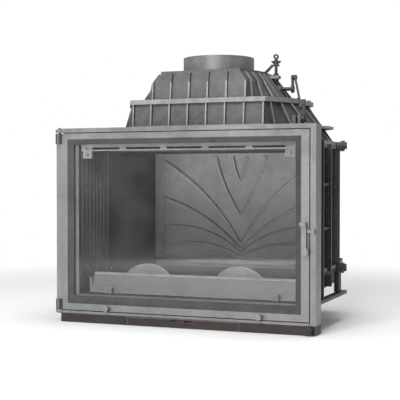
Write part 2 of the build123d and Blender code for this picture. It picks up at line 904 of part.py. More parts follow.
def palmette():
    """Raised bands that rise from the middle of the fireback and arch out to its border."""
    y0, y1 = liner_end - palmette_relief, liner_end
    bands = []
    for apex, middle, border, width in palmette_arcs:
        centre_line = ThreePointArc((0, apex), (palmette_middle, middle), (palmette_half, border))
        band = thicken_line(centre_line, width, y0, y1)
        bands += [band, mirrored(band)]
    for apex, top, width in palmette_vees:
        centre_line = ThreePointArc((0, apex), (top * 0.62, (apex + palmette_top) / 2), (top, palmette_top))
        band = thicken_line(centre_line, width, y0, y1)
        bands += [band, mirrored(band)]
    frame = block(-palmette_half - palmette_band, palmette_half + palmette_band, y0, y1, lower_back_top,
                  lower_back_top + palmette_band)
    bands.append(frame)
    for sign in (-1, 1):
        x = sign * (palmette_half + palmette_band / 2)
        bands.append(block(x - palmette_band / 2, x + palmette_band / 2, y0, y1, lower_back_top, palmette_top))
    return bands


def thicken_line(line, width, y0, y1):
    """Band that widens from the apex to the given width along a line drawn as (x, height)."""
    count = 9
    upper, lower = [], []
    for index in range(count):
        at = index / (count - 1)
        point, along_line = line @ at, line % at
        half = (palmette_apex_band + (width - palmette_apex_band) * at) / 2
        normal = Vector(-along_line.Y, along_line.X) * half
        upper.append((point.X + normal.X, point.Y + normal.Y))
        lower.append((point.X - normal.X, point.Y - normal.Y))
    return front(upper + list(reversed(lower)), y0, y1)


def fireback():
    shape = block(-fireback_half, fireback_half, liner_end, liner_end + fireback_wall, lower_back_top, liner_top)
    for band in palmette():
        shape += band
    return shape & block(-fireback_half, fireback_half, 0, body_depth, lower_back_top, liner_top)


def lower_back():
    y1 = liner_end + fireback_wall
    y0 = liner_end - lower_back_depth
    points = [(y0, hearth_floor), (y1, hearth_floor), (y1, lower_back_top), (y0 + 8, lower_back_top),
              (y0 + 8, lower_back_top - 11), (y0, lower_back_top - 22)]
    return side(points, -liner_back_half + 4, liner_back_half - 4)


def baffle():
    back = liner_end + fireback_wall
    rear_half = liner_back_half + liner_wall / 2
    points = [(-baffle_front_half, baffle_front), (baffle_front_half, baffle_front), (rear_half, back),
              (-rear_half, back)]
    return plan(points, liner_top, liner_top + baffle_plate)


# Grate, ash box, ash pan

def grate():
    shape = block(-grate_half, grate_half, grate_front, grate_back, hearth_floor - floor_plate, hearth_floor)
    pitch = (2 * grate_half - 16) / grate_bars
    length = (grate_back - grate_front - 40) / 2
    for index in range(grate_bars):
        x = -grate_half + 8 + (index + 0.5) * pitch
        for y0 in (grate_front + 12, grate_front + 28 + length):
            shape -= block(x - grate_slot / 2, x + grate_slot / 2, y0, y0 + length, hearth_floor - floor_plate - 1,
                           hearth_floor + 1)
    return shape


ash_top = hearth_floor - floor_plate


def ash_box():
    inner = grate_half - ash_lip
    y0, y1 = grate_front + ash_lip, grate_back - ash_lip
    bottom = ash_top - ash_box_drop
    shape = block(-inner - 22, inner + 22, y0 - 22, y1 + 22, ash_top - ash_sheet - 1, ash_top)
    shape += block(-inner - ash_sheet, inner + ash_sheet, y0 - ash_sheet, y1 + ash_sheet, bottom, ash_top)
    return shape - block(-inner, inner, y0, y1, bottom + ash_sheet, ash_top + 1)


def ash_pan():
    inner = grate_half - ash_lip - 3
    y0, y1 = grate_front + ash_lip + 3, grate_back - ash_lip - 3
    bottom = ash_top - ash_box_drop + ash_sheet
    shape = block(-inner, inner, y0, y1, bottom, ash_top - 8)
    return shape - block(-inner + ash_sheet, inner - ash_sheet, y0 + ash_sheet, y1 - ash_sheet, bottom + ash_sheet,
                         ash_top)


# Log guard

def log_guard():
    top = trough_floor + guard_height
    y = guard_y
    back = y + guard_lean
    points = [(y, trough_floor), (y + guard_wall, trough_floor), (back + guard_wall, top), (back - 2, top + 1),
              (back - 3, top - 3), (back, top - 4)]
    return side(points, -guard_half, guard_half)


def log_rests():
    """Two half-moon plates that stand behind the guard and show above it."""
    y0 = guard_y + guard_lean + guard_wall + fit_gap
    radius = (rest_half ** 2 + rest_rise ** 2) / (2 * rest_rise)
    top = trough_floor + guard_height + rest_rise
    rests = []
    for sign in (-1, 1):
        x = sign * rest_spacing / 2 - rest_offset
        disc = rod((x, y0, top - radius), (x, y0 + rest_plate, top - radius), radius)
        disc = disc & block(x - rest_half, x + rest_half, y0, y0 + rest_plate, trough_floor, top + 1)
        rests.append(disc)
    return group(rests)


def guard_feet():
    """Small blocks in front of the guard's lower edge, and the brackets at its ends."""
    pieces = []
    for sign in (-1, 1):
        x = sign * guard_foot_spacing / 2
        pieces.append(block(x - 9, x + 9, guard_y - 14, guard_y - fit_gap, trough_floor, trough_floor + 15))
        x0, x1 = sorted((sign * guard_half, sign * (guard_half + 6)))
        pieces.append(block(x0, x1, guard_y + 3, guard_y + 25, trough_floor, trough_floor + 38))
    return group(pieces)


# Air wash bar

def air_wash_bar():
    shape = block(-bar_left, bar_right, facade_back, facade_back + bar_plate, bar_bottom, bar_top)
    middle = (bar_right - bar_left) / 2
    for index in range(bar_slots):
        x = middle + (index - (bar_slots - 1) / 2) * bar_slot_pitch
        slot = Plane((x, facade_back - 1, bar_slot_level), x_dir=(1, 0, 0), z_dir=(0, 1, 0)) * SlotOverall(
            bar_slot_length, bar_slot_height)
        shape -= extrude(slot, amount=bar_plate + 2)
    for x in bar_screw_xs:
        shape -= screw_hole((x, facade_back + bar_plate, bar_screw_z), (0, -1, 0), bar_plate + 5)
    return shape


def bar_brackets():
    """Blocks behind the ends of the bar, seen in the window's upper corners."""
    y0 = facade_back + bar_plate
    pieces = []
    for x in (-bar_left + 16, bar_right - 16):
        piece = block(x - 13, x + 13, y0, y0 + 8, bar_bottom - 19, bar_bottom + 14)
        pieces.append(piece - screw_hole((x, y0, bar_bottom - 9), (0, 1, 0), 5))
    return group(pieces)


def bar_screws():
    y0 = facade_back + bar_plate
    screws = [screw((x, y0, bar_screw_z), (0, -1, 0), bar_plate + 4.5) for x in bar_screw_xs]
    screws += [screw((x, y0, bar_bottom - 9), (0, 1, 0), 5) for x in (-bar_left + 16, bar_right - 16)]
    return group(screws)


# Hood

def corners(outline):
    a, f, b, s1, s2, c, r = outline
    return [(-a, f), (a, f), (b, s1), (b, s2), (c, r), (-c, r), (-b, s2), (-b, s1)]


def sheet(outline, level, grow=0.0):
    """Flat octagon at a level, its edges moved outward by grow."""
    face = make_face(Polyline(*[(x, y, 0) for x, y in corners(outline)], close=True))
    if grow:
        face = offset(face, amount=grow, kind=Kind.INTERSECTION)
    return Pos(0, 0, level) * face.faces()[0]


def tier(levels, wall):
    """Sloping walls between outlines, given as (outline, level)."""
    outer = [sheet(outline, level) for outline, level in levels]
    solid = loft(outer[:2], ruled=True)
    for low, high in zip(outer[1:], outer[2:]):
        solid += loft([low, high], ruled=True)
    inner = [sheet(outline, level, -wall) for outline, level in levels]
    hollow = loft(inner[:2], ruled=True)
    for low, high in zip(inner[1:], inner[2:]):
        hollow += loft([low, high], ruled=True)
    return solid, hollow


def slab(outline, z0, z1, grow):
    return extrude(sheet(outline, z0, grow), amount=z1 - z0, dir=(0, 0, 1))


def rib(foot, head, outward):
    """Thin rib along a wall, from foot to head, standing out along outward."""
    foot, head, outward = Vector(*foot), Vector(*head), Vector(*outward).normalized()
    base = [foot - outward * 2, foot + outward * hood_rib_reach, head + outward * hood_rib_reach, head - outward * 2]
    face = make_face(Polyline(*base, close=True))
    across = outward.cross(head - foot).normalized()
    return extrude(Pos(*(across * (-hood_rib / 2))) * face, amount=hood_rib, dir=across)


def between(start, end, share):
    return tuple(p + (q - p) * share for p, q in zip(start, end))


def panel_ribs(low, low_level, high, high_level, edge, count):
    """Ribs spread over one sloping panel between two outlines."""
    foot_a, foot_b = corners(low)[edge], corners(low)[edge + 1]
    head_a, head_b = corners(high)[edge], corners(high)[edge + 1]
    direction = Vector(foot_b[0] - foot_a[0], foot_b[1] - foot_a[1], 0).normalized()
    outward = (direction.Y, -direction.X, 0)
    ribs = []
    for index in range(count):
        share = (index + 0.5) / count
        foot = (*between(foot_a, foot_b, share), low_level)
        head = (*between(head_a, head_b, share), high_level)
        ribs.append(rib(foot, head, outward))
    return ribs


def front_ribs(count, low, low_level, high, high_level):
    ribs = []
    for index in range(count):
        x = (index - (count - 1) / 2) * rib_pitch
        ribs.append(rib((x, low[1], low_level), (x, high[1], high_level), (0, -1, 0)))
    return ribs


waist_bolt_xs = (-154.0, -77.0, 0.0, 77.0, 154.0)


def waist_bolt_seats():
    """Bolts through the flanges between the two parts of the hood."""
    grow = hood_flange_width / 2
    y_back = hood_waist[6] + grow
    places = [(x, y_back, step_level) for x in waist_bolt_xs]
    for sign in (-1, 1):
        x = sign * (hood_waist[2] + grow)
        places += [(x, y, step_level) for y in (225.0, 275.0, 325.0)]
    return places


def hood_lower():
    solid, hollow = tier([(hood_foot, hood_bottom), (hood_waist, waist_level)], hood_wall)
    notch = wall_front - flange_notch
    outline = [(-notch, facade_flange + fit_gap), (notch, facade_flange + fit_gap), (notch, facade_back)]
    outline += body_outline(flange_width)[1:]
    outline += [body_outline(flange_width)[0], (-notch, facade_back)]
    shape = plan(outline, body_top, hood_bottom) + both(ear(body_top, hood_bottom))
    shape += solid
    shape += slab(hood_foot, ledge_level, ledge_level + ledge_height, ledge_width)
    shape += slab(hood_waist, waist_level, waist_level + hood_flange, hood_flange_width)
    ribs = front_ribs(lower_ribs, hood_foot, hood_bottom, hood_waist, waist_level)
    for edge in (1, 3, 5):
        ribs += panel_ribs(hood_foot, hood_bottom, hood_waist, waist_level, edge, side_ribs)
    ribs += panel_ribs(hood_foot, hood_bottom, hood_waist, waist_level, 2, 2)
    ribs += panel_ribs(hood_foot, hood_bottom, hood_waist, waist_level, 4, 4)
    ribs += [mirrored(piece) for piece in panel_ribs(hood_foot, hood_bottom, hood_waist, waist_level, 2, 2)]
    ribs += [mirrored(piece) for piece in panel_ribs(hood_foot, hood_bottom, hood_waist, waist_level, 1, side_ribs)]
    for piece in ribs:
        shape += piece
    shape -= hollow
    shape -= slab(hood_foot, body_top - 1, hood_bottom + 0.01, -hood_wall)
    shape -= slab(hood_waist, waist_level - 0.01, waist_level + hood_flange + 1, -hood_wall)
    for seat in waist_bolt_seats():
        shape -= bolt_hole(seat, (0, 0, -1), 2 * hood_flange)
    shape -= post_notch(body_top - 1, hood_bottom + 1)
    return ear_holes(shape)


def hood_upper():
    levels = [(hood_step, step_level), (hood_shoulder, shoulder_level), (hood_head, head_level)]
    solid, hollow = tier(levels, hood_wall)
    shape = slab(hood_waist, waist_level + hood_flange, step_level, hood_flange_width)
    shape += solid
    ribs = front_ribs(upper_ribs, hood_step, step_level, hood_shoulder, shoulder_level)
    ribs += front_ribs(upper_ribs - 2, hood_shoulder, shoulder_level, hood_head, head_level)
    for edge in (1, 3):
        pieces = panel_ribs(hood_step, step_level, hood_shoulder, shoulder_level, edge, side_ribs)
        pieces += panel_ribs(hood_shoulder, shoulder_level, hood_head, head_level, edge, side_ribs)
        ribs += pieces + [mirrored(piece) for piece in pieces]
    pieces = panel_ribs(hood_step, step_level, hood_shoulder, shoulder_level, 2, 4)
    pieces += panel_ribs(hood_shoulder, shoulder_level, hood_head, head_level, 2, 4)
    ribs += pieces + [mirrored(piece) for piece in pieces]
    for piece in ribs:
        shape += piece
    for sign in (-1, 1):
        shape += rod((sign * 130, flue_y, damper_level), (sign * damper_boss_end, flue_y, damper_level), damper_boss)
    lug = lug_width / 2
    shape += block(hood_head[2] - 8, spindle_x + 10, flue_y - lug, flue_y + lug, lug_level, lug_level + lug_plate)
    shape -= hollow
    shape -= slab(hood_step, waist_level + hood_flange - 1, step_level + 0.01, -hood_wall)
    shape += slab(hood_head, head_level, collar_base, 0)
    shape -= rod((0, flue_y, head_level - 1), (0, flue_y, collar_base + 1), flue_bore + collar_wall + fit_gap)
    shape -= rod((-damper_boss_end - 1, flue_y, damper_level), (damper_boss_end + 1, flue_y, damper_level),
                 damper_shaft_radius + running_clearance)
    shape -= rod((spindle_x, flue_y, lug_level - 1), (spindle_x, flue_y, lug_level + lug_plate + 1),
                 spindle_radius + running_clearance)
    for seat in waist_bolt_seats():
        shape -= bolt_hole(seat, (0, 0, -1), 2 * hood_flange)
    for seat in collar_screw_seats():
        shape -= screw_hole(seat, (0, 0, -1), collar_ring_height + 4)
    return shape


def waist_bolts():
    bolts = []
    for seat in waist_bolt_seats():
        head = hexagon(seat, (0, 0, 1), bolt_head, bolt_head_height)
        bolts.append(head + rod(along(seat, (0, 0, 1), 1), along(seat, (0, 0, -1), 2 * hood_flange), bolt_radius))
    return group(bolts)


def collar_screw_seats():
    ring = (collar_ring + flue_bore + collar_wall) / 2
    seats = []
    for index in range(collar_screws):
        angle = math.radians(30 + 360 / collar_screws * index)
        seats.append((ring * math.cos(angle), flue_y + ring * math.sin(angle), collar_base + collar_ring_height))
    return seats


def flue_collar():
    outer = flue_bore + collar_wall
    shape = rod((0, flue_y, collar_base), (0, flue_y, collar_base + collar_ring_height), collar_ring)
    bottom = collar_base - collar_drop
    shape += rod((0, flue_y, bottom), (0, flue_y, collar_top), outer)
    shape -= rod((0, flue_y, bottom - 1), (0, flue_y, collar_top + 1), flue_bore)
    shape -= rod((-outer - 1, flue_y, damper_level), (outer + 1, flue_y, damper_level), damper_shaft_radius + fit_gap)
    for seat in collar_screw_seats():
        shape -= screw_hole(seat, (0, 0, -1), collar_ring_height)
    return shape


def collar_screw_group():
    return group([screw(seat, (0, 0, -1), collar_ring_height + 3.5) for seat in collar_screw_seats()])


# Damper and its control

def damper_plate():
    y0 = flue_y + damper_bar / 2
    disc = rod((0, y0, damper_level), (0, y0 + damper_sheet, damper_level), damper_radius)
    for x in damper_screw_xs:
        disc -= screw_hole((x, y0 + damper_sheet, damper_level), (0, -1, 0), damper_sheet)
    return disc


damper_screw_xs = (-40.0, 40.0)


def damper_screws():
    seat_y = flue_y + damper_bar / 2 + damper_sheet
    return group([screw((x, seat_y, damper_level), (0, -1, 0), damper_sheet + 5) for x in damper_screw_xs])


def damper_shaft():
    bar = damper_bar / 2
    end = crank_x + crank_plate
    shape = rod((-damper_boss_end - 6, flue_y, damper_level), (end, flue_y, damper_level), damper_shaft_radius)
    shape += block(-damper_bar_half, damper_bar_half, flue_y - bar, flue_y + bar, damper_level - bar,
                   damper_level + bar)
    seat_y = flue_y + damper_bar / 2 + damper_sheet
    for x in damper_screw_xs:
        shape -= screw_hole((x, seat_y, damper_level), (0, -1, 0), damper_sheet + 5)
    return shape


def damper_crank():
    pin_z = damper_level + crank_radius
    shape = rod((crank_x, flue_y, damper_level), (crank_x + crank_plate, flue_y, damper_level), crank_hub)
    shape += block(crank_x, crank_x + crank_plate, flue_y - 5, flue_y + 5, damper_level, pin_z)
    shape += rod((crank_x, flue_y, pin_z), (crank_x + crank_plate, flue_y, pin_z), 7)
    shape += rod((crank_x, flue_y, pin_z), (link_x + link_eye_width + 2, flue_y, pin_z), link_pin)
    return shape - rod((crank_x - 1, flue_y, damper_level), (crank_x + crank_plate + 1, flue_y, damper_level),
                       damper_shaft_radius + running_clearance)


link_x = crank_x + crank_plate + fit_gap
link_end_x = lever_x - fit_gap - link_eye_width


def link_rod():
    """Rod with an eye at each end: the crank's pin and the lever's pin."""
    start = (link_x + link_eye_width / 2, flue_y, damper_level + crank_radius)
    end = (link_end_x + link_eye_width / 2, lever_y, lever_level + crank_radius)
    shape = rod(start, end, link_rod_radius)
    for x, (_, y, z) in ((link_x, start), (link_end_x, end)):
        shape -= block(x - 20, x, y - link_eye, y + link_eye, z - link_eye, z + link_eye)
        shape -= block(x + link_eye_width, x + 20, y - link_eye, y + link_eye, z - link_eye, z + link_eye)
        shape += rod((x, y, z), (x + link_eye_width, y, z), link_eye)
    shape -= rod((link_x - 1, start[1], start[2]), (link_x + link_eye_width + 1, start[1], start[2]),
                 link_pin + running_clearance)
    return shape - rod((link_end_x - 1, end[1], end[2]), (link_end_x + link_eye_width + 1, end[1], end[2]),
                       link_pin + link_slack)


def control_lever():
    x0, x1 = lever_x, lever_x + lever_plate
    pin_z = lever_level + crank_radius
    shape = rod((x0, lever_y, lever_level), (x1, lever_y, lever_level), lever_hub)
    shape += block(x0, x1, lever_y - 5, lever_y + 5, lever_level, pin_z + lever_tail)
    shape += rod((link_end_x - 2, lever_y, pin_z), (x1, lever_y, pin_z), link_pin)
    return shape - rod((x0 - 1, lever_y, lever_level), (x1 + 1, lever_y, lever_level), lever_pin + running_clearance)


cheek_right = lever_x - fit_gap
cheek_left = cheek_right - cheek_wall


def control_bracket():
    top = lever_level + cheek_head
    depth = cheek_depth / 2
    inner = cheek_left - cheek_gap
    y0, y1 = lever_y - depth, lever_y + depth
    shape = block(inner - cheek_wall, cheek_right, y0, y1, hood_bottom, hood_bottom + 8)
    shape += block(cheek_left, cheek_right, y0, y1, hood_bottom, top)
    shape += block(inner - cheek_wall, inner, y0, y1, hood_bottom, top)
    return shape - rod((inner - cheek_wall - 1, lever_y, lever_level), (cheek_right + 1, lever_y, lever_level),
                       lever_pin + running_clearance)


def lever_pivot():
    start = cheek_left - cheek_gap - cheek_wall
    end = lever_x + lever_plate + fit_gap
    shape = rod((start - 4, lever_y, lever_level), (end + 4, lever_y, lever_level), lever_pin)
    shape += hexagon((start, lever_y, lever_level), (-1, 0, 0), 7.5, 4)
    return shape + hexagon((end, lever_y, lever_level), (1, 0, 0), 7.5, 4)


# Spindle, stay and wing nut

nut_level = stay_level + stay_plate


def spindle():
    shape = rod((spindle_x, flue_y, lug_level - 6), (spindle_x, flue_y, eye_level), spindle_radius)
    shape += hexagon((spindle_x, flue_y, lug_level), (0, 0, -1), 7.5, 5)
    shape += hexagon((spindle_x, flue_y, lug_level + lug_plate), (0, 0, 1), 7.5, 6)
    shape += rod((spindle_x, flue_y - 3, eye_level), (spindle_x, flue_y + 3, eye_level), eye_radius)
    return shape - rod((spindle_x, flue_y - 5, eye_level), (spindle_x, flue_y + 5, eye_level), eye_hole)


def spindle_stay():
    """Bent strip from the top of the hood to the spindle."""
    foot = hood_head[2] - 2
    near = spindle_x - 9
    points = [(foot - 14, collar_base), (foot, collar_base), (near, stay_level), (spindle_x + 8, stay_level),
              (spindle_x + 8, nut_level), (near - 2, nut_level), (foot - 3, collar_base + stay_plate),
              (foot - 14, collar_base + stay_plate)]
    strip = front(points, flue_y - 6, flue_y + 6)
    return strip - rod((spindle_x, flue_y, stay_level - 1), (spindle_x, flue_y, nut_level + 1),
                       spindle_radius + running_clearance)


def wing_nut():
    z0 = nut_level + fit_gap
    shape = rod((spindle_x, flue_y, z0), (spindle_x, flue_y, z0 + wing_height), wing_hub)
    for sign in (-1, 1):
        points = [(0, z0 + 1), (wing_span - 4, z0 + 3), (wing_span, z0 + wing_height - 1), (wing_span - 3, z0 + wing_height),
                  (0, z0 + wing_height - 3)]
        shape += front([(spindle_x + sign * x, z) for x, z in points], flue_y - 2, flue_y + 2)
    return shape - rod((spindle_x, flue_y, z0 - 1), (spindle_x, flue_y, z0 + wing_height + 1),
                       spindle_radius + running_clearance)


def main():
    os.makedirs("parts", exist_ok=True)
    knob, valve = air_valve()
    plinth_hole = rod((knob_x, -1, knob_height), (knob_x, plinth_wall + 1, knob_height),
                      knob_spindle + running_clearance)
    write("plinth_left", mirrored(plinth_end()))
    write("plinth_right", plinth_end() - plinth_hole)
    write("ash_cover", ash_cover())
    write("air_slider", air_slider())
    write("air_valve_knob", knob)
    write("air_valve_spindle", valve)
    facade = facade_frame()
    for x in base_screw_xs:
        facade -= screw_hole((x, facade_flange, base_screw_z), (0, -1, 0), facade_flange - facade_back + 5)
    write("facade_frame", facade)
    write("facade_screws", facade_screws())
    write("hinge_pins", hinge_pins())
    write("door_frame", door_frame())
    write("door_glass", door_glass())
    write("door_seal", door_seal())
    write("glass_clips", group([glass_clip(*place) for place in clip_places()]))
    write("clip_screws", group([clip_screw(*place) for place in clip_places()]))
    write("door_pegs", door_pegs())
    write("handle_lever", handle_lever())
    write("handle_pivot", handle_pivot())
    write("latch_keeper", latch_keeper())
    write("air_wash_bar", air_wash_bar())
    write("bar_brackets", bar_brackets())
    write("bar_screws", bar_screws())
    write("base_casting", base_casting())
    write("side_casting_right", side_casting())
    write("side_casting_left", mirrored(side_casting()))
    write("rear_casting", rear_casting())
    write("body_bolts", body_bolts())
    write("side_rails", group([side_rail(), mirrored(side_rail())]))
    write("side_posts", group([side_post(), mirrored(side_post())]))
    write("post_stays", post_stays())
    write("rear_legs", rear_legs())
    write("ribbed_liner_right", ribbed_liner())
    write("ribbed_liner_left", mirrored(ribbed_liner()))
    write("smooth_liner_right", smooth_liner())
    write("smooth_liner_left", mirrored(smooth_liner()))
    write("liner_screws", group([liner_screw(), mirrored(liner_screw())]))
    write("fireback", fireback())
    write("lower_back", lower_back())
    write("baffle", baffle())
    write("grate", grate())
    write("ash_box", ash_box())
    write("ash_pan", ash_pan())
    write("log_guard", log_guard())
    write("log_rests", log_rests())
    write("guard_feet", guard_feet())
    write("hood_lower", hood_lower())
    write("hood_upper", hood_upper())
    write("waist_bolts", waist_bolts())
    write("flue_collar", flue_collar())
    write("collar_screws", collar_screw_group())
    write("damper_plate", damper_plate())
    write("damper_shaft", damper_shaft())
    write("damper_screws", damper_screws())
    write("damper_crank", damper_crank())
    write("link_rod", link_rod())
    write("control_lever", control_lever())
    write("control_bracket", control_bracket())
    write("lever_pivot", lever_pivot())
    write("spindle", spindle())
    write("spindle_stay", spindle_stay())
    write("wing_nut", wing_nut())


main()
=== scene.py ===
import bpy
import bmesh
import json
import math
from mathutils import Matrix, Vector


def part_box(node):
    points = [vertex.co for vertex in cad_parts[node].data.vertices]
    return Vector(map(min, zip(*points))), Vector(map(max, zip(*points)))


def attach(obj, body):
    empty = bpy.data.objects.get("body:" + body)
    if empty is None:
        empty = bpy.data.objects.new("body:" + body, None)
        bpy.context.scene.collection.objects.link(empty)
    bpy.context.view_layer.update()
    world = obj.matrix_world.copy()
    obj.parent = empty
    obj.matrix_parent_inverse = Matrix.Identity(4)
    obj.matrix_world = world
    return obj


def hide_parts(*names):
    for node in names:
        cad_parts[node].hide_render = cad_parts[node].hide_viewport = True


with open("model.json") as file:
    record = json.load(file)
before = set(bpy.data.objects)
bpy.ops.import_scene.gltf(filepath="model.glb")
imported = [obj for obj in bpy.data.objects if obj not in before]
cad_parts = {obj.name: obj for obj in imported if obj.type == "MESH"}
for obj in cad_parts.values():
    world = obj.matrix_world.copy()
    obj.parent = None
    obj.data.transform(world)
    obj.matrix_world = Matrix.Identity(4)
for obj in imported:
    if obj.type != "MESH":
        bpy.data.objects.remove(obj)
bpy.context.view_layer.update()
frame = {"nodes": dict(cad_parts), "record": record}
nodes = frame["nodes"]
mm = 0.001
print("frame loaded:", len(nodes), "nodes")


# shader sockets with the usual operators, so that masks read as plain sums
class Wire:
    def __init__(self, finish, socket):
        self.finish = finish
        self.socket = socket

    def maths(self, operation, first, second):
        return self.finish.node("ShaderNodeMath", {"operation": operation}, {0: first, 1: second})

    def __add__(self, other):
        return self.maths("ADD", self, other)

    def __sub__(self, other):
        return self.maths("SUBTRACT", self, other)

    def __rsub__(self, other):
        return self.maths("SUBTRACT", other, self)

    def __mul__(self, other):
        return self.maths("MULTIPLY", self, other)

    __radd__ = __add__
    __rmul__ = __mul__


class Finish:
    def __init__(self, name):
        self.material = bpy.data.materials.new(name)
        self.material.use_nodes = True
        self.tree = self.material.node_tree
        self.tree.nodes.clear()

    def node(self, kind, settings=None, inputs=None, output=0):
        made = self.tree.nodes.new(kind)
        for key, value in (settings or {}).items():
            if key == "stops":
                ramp = made.color_ramp
                while len(ramp.elements) < len(value):
                    ramp.elements.new(0.5)
                for element, (place, tone) in zip(ramp.elements, value):
                    element.position = place
                    element.color = (tone, tone, tone, 1.0)
            else:
                setattr(made, key, value)
        for key, value in (inputs or {}).items():
            if isinstance(value, Wire):
                self.tree.links.new(value.socket, made.inputs[key])
            else:
                made.inputs[key].default_value = value
        return Wire(self, made.outputs[output])

    def place(self, scale=(1.0, 1.0, 1.0)):
        coordinates = self.node("ShaderNodeTexCoord", output="Object")
        return self.node("ShaderNodeMapping", {}, {"Vector": coordinates, "Scale": scale})

    def noise(self, scale, detail, roughness, stretch=(1.0, 1.0, 1.0), distortion=0.0):
        return self.node("ShaderNodeTexNoise", {}, {"Vector": self.place(stretch), "Scale": scale,
                         "Detail": detail, "Roughness": roughness, "Distortion": distortion})

    def ramp(self, value, *stops):
        return self.node("ShaderNodeValToRGB", {"stops": stops}, {0: value})

    def tint(self, amount, dark, light):
        return self.node("ShaderNodeMix", {"data_type": "RGBA"},
                         {0: amount, 6: (*dark, 1.0), 7: (*light, 1.0)}, 2)

    def over(self, amount, under, colour):
        return self.node("ShaderNodeMix", {"data_type": "RGBA"}, {0: amount, 6: under, 7: (*colour, 1.0)}, 2)

    def bump(self, height, distance, strength):
        inputs = {"Height": height, "Distance": distance, "Strength": strength}
        return self.node("ShaderNodeBump", {}, inputs)

    def close(self, shader):
        output = self.tree.nodes.new("ShaderNodeOutputMaterial")
        self.tree.links.new(shader.socket, output.inputs["Surface"])
        return self.material


# cast iron: sand-cast grain, shallow pits, cloudy tone, drips and a little pale dust;
# the heights entry gives two heights in metres between which a painted shade thins out upwards, and its
# share at the lower one
# edge is the colour of the lighter edge finish, worn and with a painted highlight; the facade's two shade
# tones are the colours of its painted shade finish
castIron = {
    "facade": {"dark": (0.165, 0.165, 0.168), "light": (0.290, 0.290, 0.294),
               "metallic": 0.60, "roughness": 0.42, "grain": 520.0, "grainDepth": 0.00010,
               "pits": 0.08, "dust": 0.12, "edge": (0.46, 0.46, 0.46),
               "soot": ((0.050, 0.050, 0.051), (0.085, 0.085, 0.086))},
    "plinth": {"dark": (0.018, 0.014, 0.013), "light": (0.046, 0.037, 0.033),
               "metallic": 0.25, "roughness": 0.50, "grain": 620.0, "grainDepth": 0.00012,
               "pits": 0.20, "dust": 0.20, "edge": (0.17, 0.15, 0.14)},
    "body": {"dark": (0.014, 0.014, 0.015), "light": (0.052, 0.052, 0.054),
             "metallic": 0.20, "roughness": 0.62, "grain": 360.0, "grainDepth": 0.00016,
             "pits": 0.50, "dust": 0.30, "edge": (0.20, 0.20, 0.20)},
    "hood": {"dark": (0.052, 0.052, 0.053), "light": (0.140, 0.140, 0.142),
             "metallic": 0.30, "roughness": 0.52, "grain": 400.0, "grainDepth": 0.00012,
             "pits": 0.20, "dust": 0.08, "edge": (0.30, 0.30, 0.30)},
    "collar": {"dark": (0.125, 0.125, 0.127), "light": (0.255, 0.255, 0.257),
               "metallic": 0.55, "roughness": 0.40, "grain": 700.0, "grainDepth": 0.00008,
               "pits": 0.15, "dust": 0.20, "edge": (0.45, 0.45, 0.45)},
    "liner": {"dark": (0.034, 0.033, 0.033), "light": (0.110, 0.109, 0.107),
              "metallic": 0.15, "roughness": 0.66, "grain": 380.0, "grainDepth": 0.00004,
              "pits": 0.20, "dust": 0.05, "edge": (0.26, 0.26, 0.255), "rise": (0.06, 0.38, 0.85)},
    "hearth": {"dark": (0.016, 0.016, 0.016), "light": (0.050, 0.049, 0.048),
               "metallic": 0.10, "roughness": 0.72, "grain": 380.0, "grainDepth": 0.00002,
               "pits": 0.10, "dust": 0.0, "edge": (0.11, 0.11, 0.108)},
    "fireback": {"dark": (0.260, 0.258, 0.254), "light": (0.520, 0.516, 0.510),
                 "metallic": 0.15, "roughness": 0.55, "grain": 420.0, "grainDepth": 0.00004,
                 "pits": 0.20, "dust": 0.06, "edge": (0.95, 0.945, 0.935), "rise": (0.10, 0.47, 0.90)},
    "guard": {"dark": (0.100, 0.099, 0.098), "light": (0.195, 0.194, 0.192),
              "metallic": 0.20, "roughness": 0.55, "grain": 420.0, "grainDepth": 0.00005,
              "pits": 0.20, "dust": 0.06, "edge": (0.46, 0.46, 0.455)},
    "bar": {"dark": (0.170, 0.170, 0.172), "light": (0.330, 0.330, 0.333),
            "metallic": 0.30, "roughness": 0.50, "grain": 520.0, "grainDepth": 0.00014,
            "pits": 0.20, "dust": 0.25, "edge": (0.70, 0.70, 0.70)},
}


# a casting has three finishes: as cast, lighter on its edges with wear and a painted highlight, and a darker
# painted shade where shade falls
asCast, wornHighlight, paintedShade = 0, 1, 2
wearAndLightRoughness = {asCast: 0.0, wornHighlight: -0.08, paintedShade: 0.06}
shadeBlack = (0.008, 0.008, 0.008)


